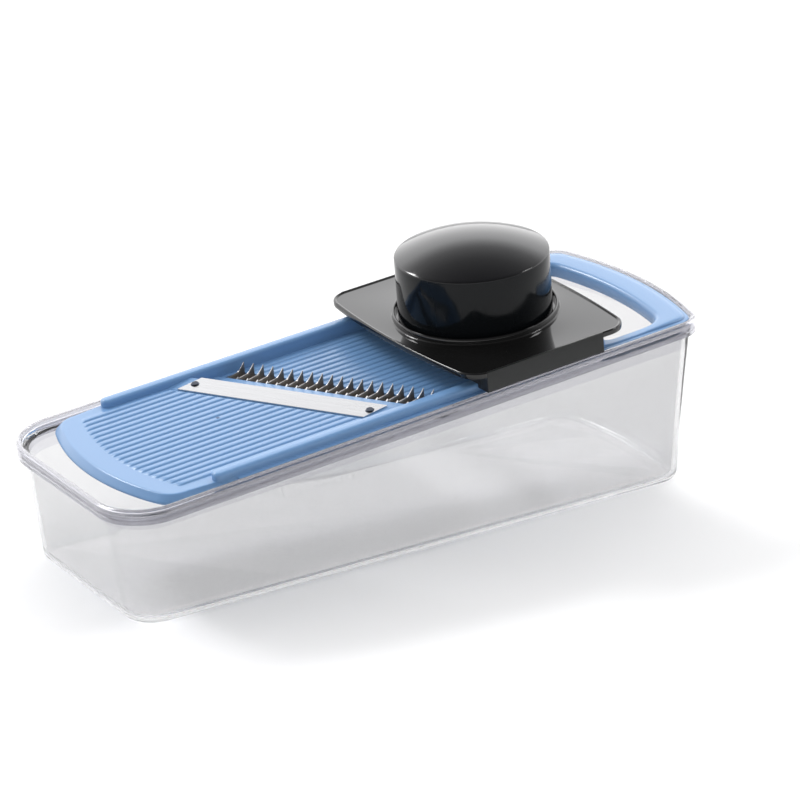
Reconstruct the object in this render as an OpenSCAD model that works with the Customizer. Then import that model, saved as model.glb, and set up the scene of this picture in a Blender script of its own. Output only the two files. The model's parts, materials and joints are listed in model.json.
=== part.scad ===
// Mandoline slicer that stands in its own clear food container.
// The container is a wedge: its floor is level and its rim climbs towards the handle.
// Everything above the rim is drawn in deck axes: +X runs from the nose to the handle,
// +Y is across, +Z stands square on the rim plane, and 0 is the top front edge of the rim.

/* [Container] */
// Length of the rim, front lip to the crown of the bowed rear lip
rim_l = 350; // [320:1:400]
// Width of the rim over both lips
rim_w = 127; // [118:1:150]
// Height of the rim above the table at the front
front_h = 64; // [52:1:80]
// Climb of the rim plane towards the handle, in degrees
deck_pitch = 5; // [0:0.5:7]
// Height of the outer lip band
lip_h = 8; // [6:0.5:10]
// Wall thickness
wall = 2.4; // [1.8:0.1:3]
// Bow of the rear end, from the corners to its crown
rear_bow = 10.4; // [6:0.2:16]
// Plan radius of the front corners
front_r = 27; // [18:1:34]
// Plan radius of the rear corners
rear_r = 12; // [8:1:18]

/* [Slicer frame] */
// Half the clear width between the two guide rails
lane = 51; // [46:0.5:53]
// Width of each guide rail
rail_t = 6.6; // [5:0.2:7]
// Height of the rail tops above the rim
rail_top = 3.8; // [2:0.2:5]
// Where the rails begin, behind the front lip
rail_x0 = 58; // [50:1:75]
// Drop from the front plate to the rear runway, which sets the slice thickness
slice_t = 3.2; // [1.6:0.2:4.4]
// Distance between ridges, which the comb teeth share
ridge_pitch = 4.9; // [4:0.05:4.95]
// Height of a ridge
ridge_h = 0.7; // [0.3:0.1:1]
// Angle of the blade across the lane, in degrees
skew = 30; // [20:1:35]

/* [Blade and comb] */
// Width of the blade, back edge to cutting edge
blade_w = 12.6; // [10:0.2:14]
// Thickness of the blade
blade_t = 0.8; // [0.5:0.1:1.2]
// Rise of the blade towards its cutting edge, in degrees
blade_rise = 8; // [4:1:10]
// Length of a comb tooth along the runway
tooth_l = 9.6; // [7:0.2:11]
// Thickness of a comb tooth
tooth_t = 0.8; // [0.5:0.1:1.2]
// Height of the tooth points above the rim
tooth_top = 3; // [1:0.2:3.2]

/* [Guard] */
// Length of the guard plate along the rails
guard_l = 105; // [96:1:112]
// Width of the guard plate
guard_w = 134; // [128:1:140]
// Height of the edge of the guard plate above the rim
guard_top = 13.1; // [11:0.1:16]
// Where the guard stands, behind the front lip
guard_x = 245; // [235:1:255]
// Outer radius of the pusher cap
cap_r = 39.6; // [34:0.2:41]
// Height of the sharp cap edge above the guard plate
cap_h = 32.2; // [26:0.2:40]
// Rise of the dome above the cap edge
dome_h = 9; // [5:0.5:12]
// Number of food pins
pin_n = 8; // [4:1:10]

/* [Hidden] */
$fn = 96;
eps = 0.01;

// ---- container ----
bow_r = ((rim_w / 2) ^ 2 + rear_bow ^ 2) / (2 * rear_bow);
shift_x = (rim_l * cos(deck_pitch) + lip_h * sin(deck_pitch)) / 2;
foot_in = 12.3;      // how far the floor stands back from the front lip
foot_side = 8.9;     // and from each side lip
foot_rear = 4;       // and from the rear lip
floor_t = 2.6;
floor_r = 16;        // plan radius of its corners
edge_r = 5;          // radius of the edge round the floor
seat_in = 2.7;       // width of the lip over the seat of the frame
seat_w = 3.3;        // width of the seat itself
seat_d = 4.5;        // depth of the seat below the rim
band_in = 3;         // how far the wall stands back under the lip band

// ---- slicer frame ----
fit = 0.6;           // side clearance of the frame in the rim
ridge_n = 2 * floor((lane - 1.9) / ridge_pitch);   // as many ridges as the lane holds
rail_out = lane + rail_t;
flange_in = seat_in + fit;
frame_in = seat_in + seat_w + 0.5;
front_top = slice_t - 2.5;          // top of the front ridges
run_top = front_top - slice_t;      // top of the runway ridges
frame_bot = -5;
nose_x = 16;
nose_r = 138;
nose_corner = 14;
rib_x = 30.8;
rib_r = 142;
run_x1 = rim_l - 68;
rail_x1 = run_x1;    // the rails end where the handle begins
hand_x0 = rim_l - 62;
hand_x1 = rim_l - 19.5;
hand_r = 13;
hand_fr = 5;
bar_x0 = rim_l - 32;
blade_x = 119.7;     // back edge of the blade on the centre line
blade_half = lane - 5.5;   // half its reach across the lane
blade_z = 0.1;
comb_x = 150.5;      // front of the comb on the centre line
comb_half = ridge_n * ridge_pitch / 2;
strip_half = lane + 4.4;
strip_z = frame_bot - 1.2;
rivet_r = 1.5;

// ---- guard ----
plate_t = 2.4;
lip_up = 0.6;
plate_top = guard_top - lip_up;
plate_bot = plate_top - plate_t;
guard_bow = 5;
collar_r = cap_r + 3.2;
collar_t = 1.5;
collar_h = 2.8;
cap_wall = 2.6;
tube_r = cap_r - cap_wall - 0.4;
tube_t = 2.2;
tube_top = guard_top + 25;
disc_r = tube_r - tube_t - 0.6;
disc_z = guard_top + 0.5;
disc_t = 3;
pin_l = 8.2;
pin_r = 1.1;
pin_ring = disc_r - 8;
screw_ring = 13;
screw_r = 1.5;
head_r = 2.8;
head_t = 1.6;
runner_l = 71;
runner_x = -3.7;     // middle of the runners, in front of the middle of the plate
runner_out = guard_w / 2;
skirt_t = 2.2;
runner_gap = 0.15;
hang_z = 2;          // bottom of the runners' outer skirts

function side(s) = s == "left" ? 1 : -1;

// Stands its children on the rim plane.
module deck() {
    translate([-shift_x, 0, front_h]) rotate([0, -deck_pitch, 0]) children();
}

// Outline with rounded front corners and a bowed rear end: x0 and x1 are its two ends,
// half its half width, fr and rr its corner radii and big the radius of the bow.
module bowed_shape(x0, x1, half, fr, rr, big) {
    cx = x1 - big;
    yc = half - rr;
    xc = cx + sqrt((big - rr) ^ 2 - yc ^ 2);
    reach = 1.2 * big / (xc - cx);
    translate([x0 + fr, -half]) square([xc - x0 - fr, 2 * half]);
    translate([x0, fr - half]) square([fr + 1, 2 * (half - fr)]);
    for (s = [-1, 1]) {
        translate([x0 + fr, s * (half - fr)]) circle(r = fr);
        translate([xc, s * yc]) circle(r = rr);
    }
    intersection() {
        translate([cx, 0]) circle(r = big, $fn = 360);
        translate([cx, 0]) polygon(reach * [[0, 0], [xc - cx, -yc], [xc - cx, yc]]);
    }
}

// Rim outline seen square on, drawn in by d on every side.
module rim_shape(d = 0) {
    bowed_shape(d, rim_l - d, rim_w / 2 - d, front_r - d, rear_r - min(d, rear_r - 3), bow_r - d);
}

// Outline of the floor, drawn in by d; it lies level, so it is moved and not turned.
module floor_shape(d = 0) {
    bowed_shape(
        foot_in + d, rim_l - foot_rear - d, rim_w / 2 - foot_side - d,
        floor_r - min(d, floor_r - 5), floor_r - min(d, floor_r - 5), bow_r - d
    );
}

// A solid that runs from the level floor, with its rounded edge, up to the sloping rim.
module tub_solid(d, z0, w1, rim_d) {
    hull() {
        for (a = [0:22.5:90])
            translate([-shift_x, 0, z0 + edge_r * (1 - sin(a))]) linear_extrude(eps)
                floor_shape(d + edge_r * (1 - cos(a)));
        deck() translate([0, 0, w1 - eps]) linear_extrude(eps) rim_shape(rim_d);
    }
}

module container_tub() {
    color("lightgray", 0.4) difference() {
        union() {
            tub_solid(0, 0, -lip_h + 0.5, band_in, $fn = 40);
            deck() translate([0, 0, -lip_h]) linear_extrude(lip_h) rim_shape(0);
        }
        tub_solid(wall, floor_t, -seat_d + 0.3, seat_in + seat_w, $fn = 40);
        deck() translate([0, 0, -seat_d]) linear_extrude(seat_d + 1) rim_shape(seat_in);
        deck() translate([0, 0, -lip_h - 1]) linear_extrude(lip_h) rim_shape(seat_in + seat_w);
    }
}

// ---- slicer frame ----

// Front of the frame: a wide arc with rounded corners.
module nose_shape(half) {
    offset(r = nose_corner) offset(delta = -nose_corner) intersection() {
        translate([nose_x + nose_r, 0]) circle(r = nose_r, $fn = 180);
        translate([nose_x, -half]) square([110, 2 * half]);
    }
}

// Outline of the frame, drawn in from the rim by d, with its free nose in front.
module frame_shape(d) {
    intersection() {
        rim_shape(d);
        union() {
            nose_shape(rim_w / 2 - d);
            translate([90, -rim_w]) square([rim_l, 2 * rim_w]);
        }
    }
}

// A band that crosses the lane at the blade's angle, from x0 to x1 on the centre line.
module skew_band(x0, x1, half) {
    run = half * tan(skew);
    polygon([[x0 - run, half], [x1 - run, half], [x1 + run, -half], [x0 + run, -half]]);
}

// Cross-section of a plate of rounded ridges, standing on the level z0.
module ridge_profile(z0) {
    for (i = [0:ridge_n - 1])
        translate([(i - (ridge_n - 1) / 2) * ridge_pitch, z0])
            polygon([[-1.5, -0.2], [-0.7, ridge_h], [0.7, ridge_h], [1.5, -0.2]]);
}

module ridges(x0, x1, z0) {
    translate([x0, 0, 0]) rotate([90, 0, 90]) linear_extrude(x1 - x0) ridge_profile(z0);
}

module front_ridges() {
    intersection() {
        ridges(rib_x, 160, front_top - ridge_h);
        translate([0, 0, -5]) linear_extrude(12) intersection() {
            translate([rib_x + rib_r, 0]) circle(r = rib_r, $fn = 180);
            skew_band(-80, blade_x - 1.5, lane + 10);
        }
    }
}

module rear_ridges() {
    difference() {
        ridges(comb_x - 40, run_x1, run_top - ridge_h);
        translate([0, 0, -8]) linear_extrude(12) skew_band(-80, comb_x + tooth_l + 3.5, lane + 10);
    }
}

// Places its children in the blade's own axes: X over the blade, Y along it.
module blade_axes() {
    translate([blade_x, 0, blade_z]) rotate([0, 0, skew]) rotate([0, -blade_rise, 0]) children();
}

// Ends cut parallel to the rails, so the outline is a parallelogram.
module blade_shape(w, half) {
    y0 = half / cos(skew);
    dy = w * tan(skew);
    polygon([[0, y0], [w, y0 - dy], [w, -y0 - dy], [0, -y0]]);
}

module blade_rivet_at(s) {
    mid = -blade_w / 2 * tan(skew);
    reach = blade_half / cos(skew) - 3.2;
    blade_axes() translate([blade_w / 2, mid + s * reach, 0]) children();
}

// The two sloping lands that carry the blade's ends.
module blade_lands() {
    intersection() {
        translate([blade_x, 0, blade_z]) rotate([0, 0, skew]) rotate([90, 0, 0])
            translate([0, 0, -80]) linear_extrude(160)
                polygon([[0, -5], [blade_w, -5], [blade_w, blade_w * tan(blade_rise)], [0, 0]]);
        translate([0, 0, frame_bot + 0.5]) linear_extrude(20) for (s = [-1, 1])
            translate([60, s > 0 ? blade_half - 7 : -lane - 1]) square([140, lane - blade_half + 8]);
    }
}

module frame_rails() {
    for (s = [-1, 1]) {
        y0 = s > 0 ? lane : -rail_out;
        rail_h = rail_top - frame_bot - 0.5;
        translate([rail_x0, y0, frame_bot + 0.5]) cube([rail_x1 - rail_x0, rail_t, rail_h]);
        for (x = [rail_x0, rail_x1]) translate([x, s * (lane + rail_t / 2), frame_bot + 0.5])
            cylinder(r = rail_t / 2, h = rail_h);
    }
}

// Comb holes are cut in the solid rails, from below.
module comb_rivet_at(s) {
    y = s * (lane + 2.2);
    translate([comb_x + tooth_l / 2 - y * tan(skew), y, 0]) children();
}

module slicer_frame() {
    color([0.66, 0.78, 0.92]) deck() difference() {
        union() {
            // front plate, its margin and its ridges
            translate([0, 0, frame_bot + 1.5])
                linear_extrude(front_top - ridge_h - frame_bot - 1.5) intersection() {
                frame_shape(flange_in + 1.6);
                skew_band(-80, blade_x + 1, rim_w);
            }
            front_ridges();
            blade_lands();
            // side beams that rest on the seat of the container
            translate([0, 0, -seat_d + 0.05]) linear_extrude(seat_d - 0.65) difference() {
                frame_shape(flange_in);
                translate([-1, -lane - 0.5]) square([run_x1 + 10, 2 * lane + 1]);
            }
            frame_rails();
            // runway between the blade and the handle
            translate([0, 0, frame_bot]) linear_extrude(run_top - ridge_h - frame_bot) difference() {
                translate([70, -lane - 1]) square([run_x1 - 60, 2 * lane + 2]);
                skew_band(-80, blade_x + blade_w + 2.6, rim_w);
            }
            // smooth strip between the blade and the comb
            translate([0, 0, frame_bot]) linear_extrude(run_top - frame_bot) intersection() {
                skew_band(blade_x + blade_w + 2.6, comb_x - 0.8, rim_w);
                translate([60, -lane - 1]) square([160, 2 * lane + 2]);
            }
            rear_ridges();
            // thick handle that follows the bowed end
            translate([0, 0, frame_bot - 2]) linear_extrude(front_top - frame_bot + 2) intersection() {
                frame_shape(frame_in);
                translate([run_x1, -rim_w]) square([100, 2 * rim_w]);
            }
            // the bar fills the rim up to its lip
            translate([0, 0, -seat_d + 0.05]) linear_extrude(front_top + seat_d - 0.05) intersection() {
                frame_shape(flange_in);
                translate([bar_x0, -rim_w]) square([100, 2 * rim_w]);
            }
        }
        // finger opening in front of the handle bar, with wide corners at the bar
        translate([0, 0, -20]) linear_extrude(40) offset(r = hand_r) offset(delta = -hand_r) intersection() {
            translate([hand_x1 - 190, 0]) circle(r = 190, $fn = 240);
            translate([hand_x0, -lane - 0.5]) square([60, 2 * lane + 1]);
        }
        // its front corners, by the runway, are tighter
        translate([hand_x0, -lane - 0.5, -20]) linear_extrude(40)
            offset(r = hand_fr) offset(delta = -hand_fr) square([hand_r + 9, 2 * lane + 1]);
        // slot for the comb
        translate([0, 0, -10]) linear_extrude(20) intersection() {
            skew_band(comb_x - 0.8, comb_x + tooth_l + 0.8, rim_w);
            translate([60, -comb_half]) square([160, 2 * comb_half]);
        }
        for (s = [-1, 1]) {
            blade_rivet_at(s) translate([0, 0, -3]) cylinder(r = rivet_r, h = 6);
            comb_rivet_at(s) translate([0, 0, frame_bot - 1]) cylinder(r = rivet_r, h = 5);
        }
    }
}

module slicing_blade() {
    color("silver") deck() blade_axes() difference() {
        intersection() {
            linear_extrude(blade_t) blade_shape(blade_w, blade_half);
            // ground bevel along the cutting edge
            rotate([90, 0, 0]) translate([0, 0, -90]) linear_extrude(180)
                polygon([
                    [-1, 0], [blade_w - 2.2, 0], [blade_w, blade_t - 0.1], [blade_w, blade_t], [-1, blade_t]
                ]);
        }
        mid = -blade_w / 2 * tan(skew);
        for (s = [-1, 1]) translate([blade_w / 2, mid + s * (blade_half / cos(skew) - 3.2), -1])
            cylinder(r = rivet_r, h = 4);
    }
}

module blade_rivet(s) {
    color("dimgray") deck() blade_rivet_at(s) {
        translate([0, 0, -2.6]) cylinder(r = rivet_r, h = blade_t + 2.6);
        translate([0, 0, blade_t]) cylinder(r1 = 2.3, r2 = 1.7, h = 0.7);
    }
}

// One pressed piece: a flat strip under the runway with a row of upright teeth.
module julienne_comb() {
    color("rosybrown") deck() difference() {
        union() {
            translate([0, 0, strip_z]) linear_extrude(1.2) intersection() {
                skew_band(comb_x - 2.4, comb_x + tooth_l + 2.4, rim_w);
                translate([60, -strip_half]) square([160, 2 * strip_half]);
            }
            for (i = [0:ridge_n - 1]) {
                y = (i - (ridge_n - 1) / 2) * ridge_pitch;
                translate([comb_x - y * tan(skew), y + tooth_t / 2, strip_z]) rotate([90, 0, 0])
                    linear_extrude(tooth_t) polygon([
                        [0, 0.5], [0, run_top - strip_z + 0.9], [tooth_l - 0.9, tooth_top - strip_z],
                        [tooth_l, tooth_top - strip_z - 0.2], [tooth_l, 0.5]
                    ]);
            }
        }
        for (s = [-1, 1]) comb_rivet_at(s) translate([0, 0, strip_z - 1]) cylinder(r = rivet_r, h = 4);
    }
}

module comb_rivet(s) {
    color("dimgray") deck() comb_rivet_at(s) {
        translate([0, 0, strip_z - 0.8]) cylinder(r = 2.4, h = 0.8);
        translate([0, 0, strip_z]) cylinder(r = rivet_r, h = 4.8);
    }
}

// ---- guard ----

// Nearly square plate with bowed ends and rounded corners, drawn in by d.
module guard_shape(d) {
    half_l = guard_l / 2;
    r = ((guard_w / 2) ^ 2 + guard_bow ^ 2) / (2 * guard_bow);
    offset(delta = -d) offset(r = 12) offset(delta = -12) intersection() {
        translate([half_l - r, 0]) circle(r = r, $fn = 360);
        translate([r - half_l, 0]) circle(r = r, $fn = 360);
        square([guard_l, guard_w], center = true);
    }
}

module guard_axes() {
    deck() translate([guard_x, 0, 0]) children();
}

module guard_plate() {
    color([0.09, 0.09, 0.1]) guard_axes() difference() {
        union() {
            translate([0, 0, plate_bot]) linear_extrude(plate_t) guard_shape(0);
            // raised edge
            translate([0, 0, plate_bot]) linear_extrude(plate_t + lip_up) difference() {
                guard_shape(0);
                guard_shape(1.6);
            }
            // ring round the cap
            difference() {
                translate([0, 0, plate_top - 0.5]) cylinder(r = collar_r, h = collar_h + lip_up + 0.5);
                translate([0, 0, plate_top]) cylinder(r = collar_r - collar_t, h = 20);
            }
            // chimney that the cap slides over
            translate([0, 0, plate_bot]) cylinder(r = tube_r, h = tube_top - plate_bot);
            // runners on the rails, with skirts that hang outside the rails, flush with the plate
            for (s = [-1, 1]) {
                translate([runner_x - runner_l / 2, s > 0 ? lane : -runner_out, rail_top + runner_gap])
                    cube([runner_l, runner_out - lane, plate_bot - rail_top - runner_gap + 0.5]);
                translate([runner_x - runner_l / 2, s > 0 ? rail_out + 0.5 : -runner_out, hang_z])
                    cube([runner_l, runner_out - rail_out - 0.5, plate_bot - hang_z + 0.5]);
            }
        }
        translate([0, 0, plate_bot - 5]) cylinder(r = tube_r - tube_t, h = 60);
        // each skirt is hollow from below
        for (s = [-1, 1]) {
            hollow = runner_out - rail_out - 0.5 - 2 * skirt_t;
            mid = s * (runner_out - skirt_t - hollow / 2);
            translate([runner_x + skirt_t - runner_l / 2, mid - hollow / 2, hang_z - 1])
                cube([runner_l - 2 * skirt_t, hollow, plate_bot - hang_z + 1]);
        }
    }
}

// The cap's outside, or with d its inside: a straight wall under a low dome.
module cap_solid(z0, d) {
    dome_r = (cap_r ^ 2 + dome_h ^ 2) / (2 * dome_h);
    crown = guard_top + cap_h + dome_h;
    intersection() {
        translate([0, 0, z0]) cylinder(r = cap_r - d, h = crown - z0);
        translate([0, 0, crown - dome_r]) sphere(r = dome_r - d, $fn = 180);
    }
}

module screw_places() {
    for (i = [0:2]) rotate([0, 0, 90 + 120 * i]) translate([screw_ring, 0, 0]) children();
}

// Hollow cap: straight wall, sharp edge and low dome, with three screw posts inside.
module pusher_cap() {
    color([0.07, 0.07, 0.08]) guard_axes() difference() {
        cap_solid(plate_top + 0.3, 0);
        difference() {
            cap_solid(plate_top - 1, cap_wall);
            screw_places() translate([0, 0, disc_z + disc_t]) cylinder(r = 4, h = 60);
        }
        screw_places() translate([0, 0, disc_z + disc_t - 1]) cylinder(r = screw_r, h = 13);
    }
}

module spike_disc() {
    color([0.12, 0.12, 0.13]) guard_axes() difference() {
        translate([0, 0, disc_z]) cylinder(r = disc_r, h = disc_t);
        screw_places() translate([0, 0, disc_z - 1]) {
            cylinder(r = screw_r, h = disc_t + 2);
            cylinder(r = head_r, h = 1 + head_t);
        }
        for (i = [1:pin_n]) rotate([0, 0, 360 / pin_n * i]) translate([pin_ring, 0, disc_z - 1])
            cylinder(r = pin_r, h = 3);
    }
}

module pusher_screw(i) {
    color("silver") guard_axes() rotate([0, 0, 90 + 120 * (i - 1)]) translate([screw_ring, 0, disc_z]) {
        cylinder(r = head_r - 0.1, h = head_t);
        translate([0, 0, head_t]) cylinder(r = screw_r, h = 11);
    }
}

// Food pin: pressed into the disc, with a sharpened lower end.
module food_pin(i) {
    color("silver") guard_axes() rotate([0, 0, 360 / pin_n * i])
        translate([pin_ring, 0, disc_z + 2]) mirror([0, 0, 1]) {
            cylinder(r = pin_r, h = pin_l - 0.4);
            translate([0, 0, pin_l - 0.4]) cylinder(r1 = pin_r, r2 = 0.15, h = 2.4);
        }
}

container_tub();
slicer_frame();
slicing_blade();
for (s = ["left", "right"]) {
    blade_rivet(side(s));
    comb_rivet(side(s));
}
julienne_comb();
guard_plate();
pusher_cap();
spike_disc();
for (i = [1:3]) pusher_screw(i);
for (i = [1:pin_n]) food_pin(i);
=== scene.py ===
# %% [markdown]
# # Mandoline slicer on its own food container
# The mechanical frame comes from the imported CAD model. This lesson dresses it: every visible
# moulding is rebuilt as a smooth surface worked out with numpy, and every surface gets a
# procedural material. The first cell loads the frame and keeps the size of the CAD model.

# %% Load the frame
import json
import math

import bmesh
import bpy
import numpy as np
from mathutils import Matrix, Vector


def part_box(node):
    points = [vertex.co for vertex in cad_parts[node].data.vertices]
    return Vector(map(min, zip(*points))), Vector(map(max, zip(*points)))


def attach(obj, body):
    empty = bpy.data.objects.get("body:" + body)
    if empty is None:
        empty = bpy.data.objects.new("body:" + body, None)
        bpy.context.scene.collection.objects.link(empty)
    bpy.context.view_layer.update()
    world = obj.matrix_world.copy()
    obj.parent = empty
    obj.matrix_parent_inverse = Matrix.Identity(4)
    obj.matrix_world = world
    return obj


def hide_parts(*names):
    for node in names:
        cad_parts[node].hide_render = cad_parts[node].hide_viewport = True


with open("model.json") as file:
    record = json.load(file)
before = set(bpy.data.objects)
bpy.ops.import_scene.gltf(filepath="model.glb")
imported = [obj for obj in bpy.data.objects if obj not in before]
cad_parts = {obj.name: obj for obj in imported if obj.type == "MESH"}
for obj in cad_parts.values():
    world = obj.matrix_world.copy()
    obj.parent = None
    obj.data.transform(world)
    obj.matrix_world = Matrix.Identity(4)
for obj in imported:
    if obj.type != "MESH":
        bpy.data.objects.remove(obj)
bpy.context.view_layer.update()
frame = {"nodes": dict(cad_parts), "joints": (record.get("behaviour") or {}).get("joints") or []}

# %% [markdown]
# ## Deck axes
# The rim of the container climbs towards the handle, and the blade, the rails and the guard all
# follow it. It is easiest to think in "deck" axes that lie in the rim plane: u runs from nose to
# handle, v across, and w stands square on the rim. The slide joints of the CAD model already hold
# those directions, so they are read from there and nothing is measured twice. Lengths below are in
# millimetres, as on a drawing, and one function turns them into metres in the world.

# %% Deck axes
joints = {j["name"]: j for j in frame["joints"]}
ALONG = np.array(joints["guard_slide"]["axis"], float)
ALONG /= np.linalg.norm(ALONG)
UP = np.array(joints["frame_lift"]["axis"], float)
UP /= np.linalg.norm(UP)
PITCH = math.atan2(ALONG[2], ALONG[0])

tub_lo, tub_hi = (np.array(c) * 1000 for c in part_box("container_tub"))
RIM_L = 350.0
RIM_HALF = (tub_hi[1] - tub_lo[1]) / 2
DECK_ORIGIN = np.array([tub_lo[0], 0.0, tub_hi[2] - RIM_L * math.sin(PITCH)])
print("pitch", round(math.degrees(PITCH), 2), "rim half width", round(RIM_HALF, 2))


def deck(points):
    """Millimetres in deck axes to metres in the world: the origin plus u along the rim, v across
    it and w square to it."""
    p = np.asarray(points, float)
    world = DECK_ORIGIN + p[..., :1] * ALONG + p[..., 1:2] * (0.0, 1.0, 0.0) + p[..., 2:3] * UP
    return world / 1000


def deck_box(node):
    """Lowest and highest u, v and w of a CAD node: its vertices, less the origin, measured along
    the three deck axes."""
    vertices = frame["nodes"][node].data.vertices
    flat = np.empty(len(vertices) * 3)
    vertices.foreach_get("co", flat)
    placed = (flat.reshape(-1, 3) * 1000 - DECK_ORIGIN) @ np.array([ALONG, (0.0, 1.0, 0.0), UP]).T
    return placed.min(0), placed.max(0)


# %% [markdown]
# ## Turning arrays into meshes
# A moulded part is mostly one cross-section carried round an outline, so two helpers are enough:
# one that knits a grid of points into faces, and one that carries a profile of (inset, height)
# pairs round a closed outline. Numpy works on whole arrays at once, so there is no slow loop over
# vertices. Normals are recalculated at the end, which is safe because each shell is closed.

# %% Mesh helpers
def grid_faces(rows, cols, wrap_cols):
    """Quads of a rows x cols grid as index arrays; with wrap_cols the last column joins the first."""
    c = np.arange(cols if wrap_cols else cols - 1)
    r = np.arange(rows - 1)[:, None]
    a = r * cols + c
    b = r * cols + (c + 1) % cols
    return np.stack([a, b, b + cols, a + cols], -1).reshape(-1, 4)


def make_piece(name, points, faces, material, body, replaced, smooth_angle, second=None, on_second=None):
    """Builds one closed piece from metre points and faces, with outward normals and shading that
    is smooth except across edges sharper than smooth_angle, and makes it ride on its body. Faces
    marked in on_second take the second material."""
    mesh = bpy.data.meshes.new(name)
    mesh.from_pydata(np.asarray(points).reshape(-1, 3).tolist(), [], [list(map(int, f)) for f in faces])
    mesh.materials.append(material)
    if second is not None:
        mesh.materials.append(second)
        mesh.polygons.foreach_set("material_index", np.asarray(on_second, np.int32))
    piece = bpy.data.objects.new(name, mesh)
    bpy.context.scene.collection.objects.link(piece)
    work = bmesh.new()
    work.from_mesh(mesh)
    bmesh.ops.remove_doubles(work, verts=work.verts, dist=2e-6)
    bmesh.ops.recalc_face_normals(work, faces=work.faces)
    work.to_mesh(mesh)
    work.free()
    mesh.shade_smooth()
    mesh.set_sharp_from_angle(angle=math.radians(smooth_angle))
    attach(piece, body)
    if replaced:
        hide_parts(*replaced)
    print(name, len(mesh.vertices), "vertices", len(mesh.polygons), "faces")
    return piece


def normals_of(outline):
    """Unit inward normals of a closed counter-clockwise outline: the tangent between neighbours,
    turned a quarter to the left."""
    step = np.roll(outline, -1, 0) - np.roll(outline, 1, 0)
    step /= np.linalg.norm(step, axis=1)[:, None]
    return np.stack([-step[:, 1], step[:, 0]], 1)


def carried(outline, profile):
    """A profile of (inset, height) pairs carried round an outline: each row is the outline moved
    inwards along its normals by the inset and lifted to the height."""
    inward = normals_of(outline)
    inset, height = np.asarray(profile, float).T
    flat = outline[None] + inset[:, None, None] * inward[None]
    lift = np.broadcast_to(height[:, None, None], flat.shape[:2] + (1,))
    return np.concatenate([flat, lift], -1)


def capped_faces(rows, cols):
    """Grid faces round a closed outline, with one flat face on the first and on the last row."""
    faces = [tuple(f) for f in grid_faces(rows, cols, True)]
    faces.append(tuple(range(cols))[::-1])
    faces.append(tuple(range((rows - 1) * cols, rows * cols)))
    return faces


def ring_faces(rows, cols):
    """Grid faces that wrap both ways: the last row joins the first."""
    last, first = (rows - 1) * cols + np.arange(cols), np.arange(cols)
    closing = np.stack([last, np.roll(last, -1), np.roll(first, -1), first], -1)
    return np.concatenate([grid_faces(rows, cols, True), closing])


# %% [markdown]
# ## Outlines
# Nearly every plan shape here has one bowed end: the rear of the container, the nose of the frame,
# both ends of the guard, the finger opening. So the bowed end is worked out once, as an arc with a
# rounded corner where it meets each side, and the shapes are put together from it.

# %% Outline helpers
def spread_along(points, count):
    """A closed line cut into count points, each at the same share of its length from the first."""
    closed = np.vstack([points, points[:1]])
    run = np.concatenate([[0], np.cumsum(np.linalg.norm(np.diff(closed, axis=0), axis=1))])
    s = np.linspace(0, run[-1], count, endpoint=False)
    return np.stack([np.interp(s, run, closed[:, k]) for k in (0, 1)], 1)


def resample(points, spacing):
    """A closed line cut about every spacing, so that neighbouring faces have similar sizes."""
    length = np.linalg.norm(np.roll(points, -1, 0) - points, axis=1).sum()
    return spread_along(points, max(12, int(round(length / spacing))))


def arc(cx, cy, r, start, end, steps=16):
    """Points round (cx, cy): centre + r (cos t, sin t), t from start to end in radians."""
    t = np.linspace(start, end, steps)
    return np.stack([cx + r * np.cos(t), cy + r * np.sin(t)], 1)


def bow_end(x1, half, corner_r, bow_r):
    """Open line from the near side round a bowed end to the far side. The bow's centre is bow_r
    before x1; each corner circle touches its side and the bow from inside."""
    cx, yc = x1 - bow_r, half - corner_r
    xc = cx + math.sqrt((bow_r - corner_r) ** 2 - yc**2)
    turn = math.atan2(yc, xc - cx)
    return np.vstack([arc(xc, -yc, corner_r, -math.pi / 2, -turn),
                      arc(cx, 0, bow_r, -turn, turn, 61)[1:-1],
                      arc(xc, yc, corner_r, turn, math.pi / 2)])


def bowed(x0, x1, half, front_r, corner_r, bow_r, spacing=2.0):
    """Closed plan with a bowed end at x1 and a straight end with rounded corners at x0."""
    return resample(np.vstack([bow_end(x1, half, corner_r, bow_r),
                               arc(x0 + front_r, half - front_r, front_r, math.pi / 2, math.pi),
                               arc(x0 + front_r, front_r - half, front_r, math.pi, math.pi * 1.5)]), spacing)


def rounded(corners, r, steps):
    """Outline of straight runs through corners, each corner cut by an arc of radius r that touches
    both runs."""
    corners = np.asarray(corners, float)
    out = []
    for i, c in enumerate(corners):
        before, after = corners[i - 1] - c, corners[(i + 1) % len(corners)] - c
        before /= np.linalg.norm(before)
        after /= np.linalg.norm(after)
        half = math.acos(float(np.clip(before @ after, -1, 1))) / 2
        centre = c + (before + after) / np.linalg.norm(before + after) * r / math.sin(half)
        p, q = (c + d * r / math.tan(half) - centre for d in (before, after))
        t0, t1 = math.atan2(p[1], p[0]), math.atan2(q[1], q[0])
        turn = (t1 - t0 + math.pi) % (2 * math.pi) - math.pi
        out.append(arc(*centre, r, t0, t0 + turn, steps))
    return np.vstack(out)


print("a 10 mm disc cut every 2 mm has", len(resample(arc(0, 0, 5, 0, 2 * math.pi), 2)), "points")


# %% [markdown]
# ## Shared finish: a moulded skin
# Injection-moulded plastic is never one flat colour: it has a faint cloudiness, fine handling
# marks that only show in the gloss, and a little dust in the corners. The cloudiness, the marks
# and a fine grain serve several materials, so they are one node group with named inputs. It puts
# out a colour, a roughness and a height, and each material keeps its own shader.

# %% Node helpers
def fill(node, values):
    """Sets a node's sockets from a dictionary of names and plain values."""
    for socket, value in values.items():
        node.inputs[socket].default_value = value
    return node


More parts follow.
